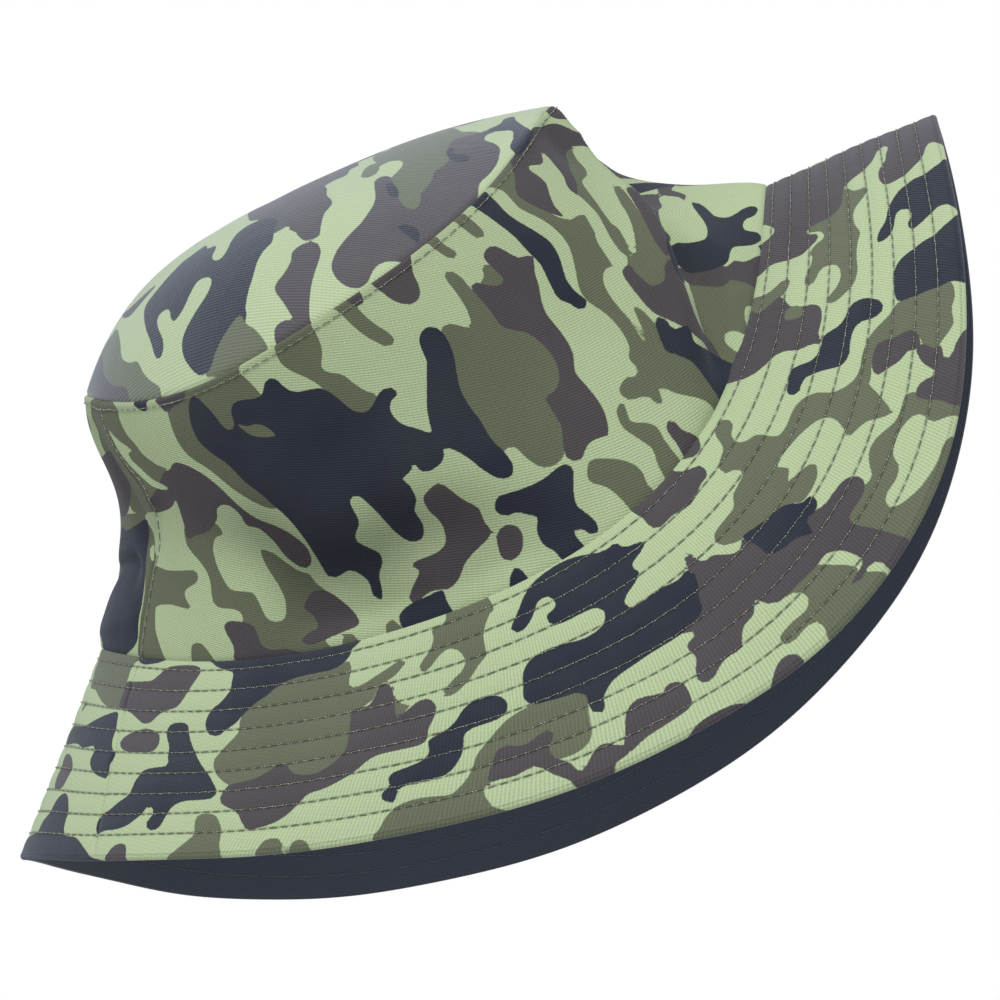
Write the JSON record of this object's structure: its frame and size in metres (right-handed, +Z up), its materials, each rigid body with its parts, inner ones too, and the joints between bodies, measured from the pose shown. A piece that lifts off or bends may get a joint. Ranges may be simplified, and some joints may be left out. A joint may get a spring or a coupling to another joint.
{
  "type": "bucket hat",
  "caption": "Soft bucket hat with a domed tip, a slumped crown and a drooping stitched brim, printed camouflage cloth outside and plain dark lining inside.",
  "frame": {"origin": "middle of the head opening, at the mean height of the seam that joins crown and brim", "axes": "+Z up through the tip of the crown, -Y towards the front of the hat as pictured, +X to the wearer's left"},
  "size_m": [0.272, 0.2, 0.1709],
  "materials": {
    "camouflage_cloth": "matte cotton twill, printed",
    "lining_cloth": "matte cotton twill, plain dark",
    "stiffener": "stiff woven interlining",
    "thread": "sewing thread"
  },
  "bodies": {
    "root": {"outer_tip": "camouflage_cloth", "outer_front_panel": "camouflage_cloth", "outer_back_panel": "camouflage_cloth", "outer_brim_front": "camouflage_cloth", "outer_brim_back": "camouflage_cloth", "lining_tip": "lining_cloth", "lining_front_panel": "lining_cloth", "lining_back_panel": "lining_cloth", "lining_brim_front": "lining_cloth", "lining_brim_back": "lining_cloth", "brim_stiffener_front": "stiffener", "brim_stiffener_back": "stiffener", "tip_topstitch": "thread", "side_topstitch_left": "thread", "side_topstitch_right": "thread", "head_seam_topstitch": "thread", "brim_row_1": "thread", "brim_row_2": "thread", "brim_row_3": "thread", "brim_row_4": "thread", "brim_row_5": "thread", "brim_row_6": "thread", "brim_row_7": "thread", "brim_row_8": "thread"}
  },
  "joints": []
}
